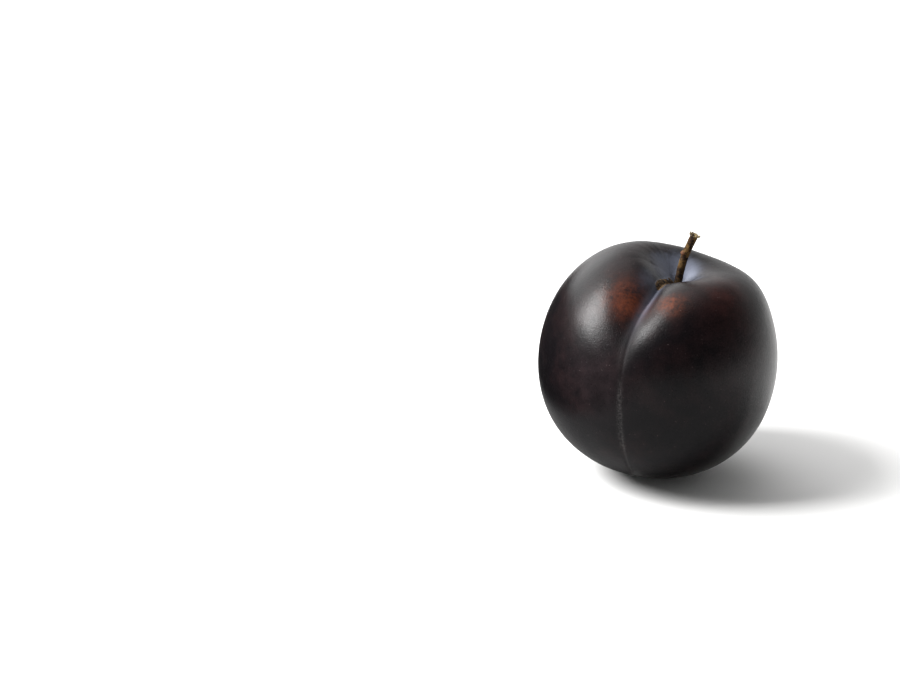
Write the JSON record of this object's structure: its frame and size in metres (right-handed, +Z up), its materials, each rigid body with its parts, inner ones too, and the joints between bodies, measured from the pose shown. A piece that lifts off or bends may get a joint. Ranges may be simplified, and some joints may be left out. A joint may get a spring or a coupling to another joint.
{
  "type": "plum",
  "caption": "Round black plum with a shallow seam, a hollow at the top and a short woody stem, standing on its base.",
  "frame": {"origin": "middle of the small flat spot that the fruit rests on", "axes": "+Z up; the seam faces -Y, turned about 20 degrees towards -X; the stem leans towards +X"},
  "size_m": [0.0619, 0.0618, 0.065],
  "materials": {
    "skin": "gloss",
    "stem": "matt"
  },
  "bodies": {
    "root": {"fruit": "skin", "stem": "stem"}
  },
  "joints": []
}
